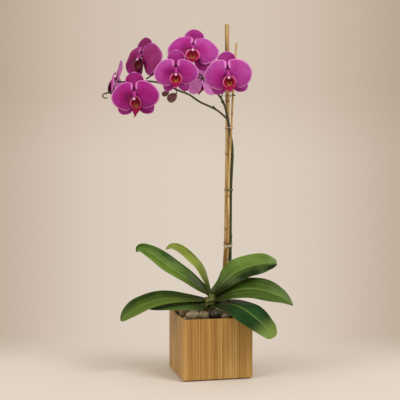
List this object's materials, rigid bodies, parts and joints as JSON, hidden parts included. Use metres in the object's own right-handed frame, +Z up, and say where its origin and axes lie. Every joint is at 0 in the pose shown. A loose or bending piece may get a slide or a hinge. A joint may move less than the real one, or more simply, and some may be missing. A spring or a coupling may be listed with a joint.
{
  "type": "potted orchid",
  "caption": "Moth orchid in a square bamboo planter: strap leaves over river pebbles, one arching flower spike tied to cane stakes, with broad magenta blooms and buds",
  "frame": {"origin": "middle of the planter's underside, on the floor", "axes": "+Z up; the planter's front board faces -Y and its right board faces +X; the flower spray leans to -X and is turned 12.85 degrees clockwise from the planter, seen from above"},
  "size_m": [0.3692, 0.2316, 0.713],
  "materials": {
    "bamboo_board": "smooth laminated bamboo, sealed, low sheen",
    "liner_plastic": "thin dark plastic, matt",
    "bark_mix": "loose bark potting mix, dark and rough",
    "river_pebbles": "small rounded river pebbles, mixed browns and greys",
    "pale_pebble": "smooth beige river pebble",
    "grey_pebble": "smooth pinkish grey river pebble",
    "dark_pebble": "smooth dark brown-grey river pebble",
    "leaf_green": "thick fleshy leaf with a waxy gloss",
    "young_leaf_green": "young yellow-green leaf, waxy gloss",
    "crown_green": "clasped leaf bases, pale green",
    "stake_cane": "natural bamboo cane, half gloss",
    "spike_green": "dark green fleshy flower stem, half gloss",
    "tie_wire": "paper and plastic covered tie wire, olive",
    "bud_skin": "closed bud, dull maroon",
    "sepal_skin": "soft magenta sepal, satin, lilac behind",
    "petal_skin": "soft magenta petal, satin, fine pale rim",
    "lip_skin": "waxy crimson lip with a pink column"
  },
  "bodies": {
    "root": {"pot_front_board": "bamboo_board", "pot_right_board": "bamboo_board", "pot_back_board": "bamboo_board", "pot_left_board": "bamboo_board", "pot_base_board": "bamboo_board", "pot_liner": "liner_plastic", "potting_mix": "bark_mix", "pebble_bed": "river_pebbles", "pebble_long": "pale_pebble", "pebble_left": "grey_pebble", "pebble_oval": "pale_pebble", "pebble_dark": "dark_pebble", "pebble_right": "pale_pebble", "crown": "crown_green", "leaf_lower_left": "leaf_green", "leaf_bottom_left": "leaf_green", "leaf_upper_left": "leaf_green", "leaf_upper_right": "leaf_green", "leaf_middle_right": "leaf_green", "leaf_front_right": "leaf_green", "leaf_young": "young_leaf_green", "stake_thick": "stake_cane", "stake_thin": "stake_cane", "flower_spike": "spike_green", "tie_low": "tie_wire", "tie_middle": "tie_wire", "tie_high": "tie_wire", "tie_canes": "tie_wire", "bud_large": "bud_skin", "bud_small": "bud_skin", "flower_right_sepals": "sepal_skin", "flower_right_petal_left": "petal_skin", "flower_right_petal_right": "petal_skin", "flower_right_lip": "lip_skin", "flower_centre_sepals": "sepal_skin", "flower_centre_petal_left": "petal_skin", "flower_centre_petal_right": "petal_skin", "flower_centre_lip": "lip_skin", "flower_top_sepals": "sepal_skin", "flower_top_petal_left": "petal_skin", "flower_top_petal_right": "petal_skin", "flower_top_lip": "lip_skin", "flower_shaded_sepals": "sepal_skin", "flower_shaded_petal_left": "petal_skin", "flower_shaded_petal_right": "petal_skin", "flower_shaded_lip": "lip_skin", "flower_lower_left_sepals": "sepal_skin", "flower_lower_left_petal_left": "petal_skin", "flower_lower_left_petal_right": "petal_skin", "flower_lower_left_lip": "lip_skin", "flower_far_left_sepals": "sepal_skin", "flower_far_left_petal_left": "petal_skin", "flower_far_left_petal_right": "petal_skin", "flower_far_left_lip": "lip_skin", "flower_turned_away_sepals": "sepal_skin", "flower_turned_away_petal_left": "petal_skin", "flower_turned_away_petal_right": "petal_skin", "flower_turned_away_lip": "lip_skin"}
  },
  "joints": []
}
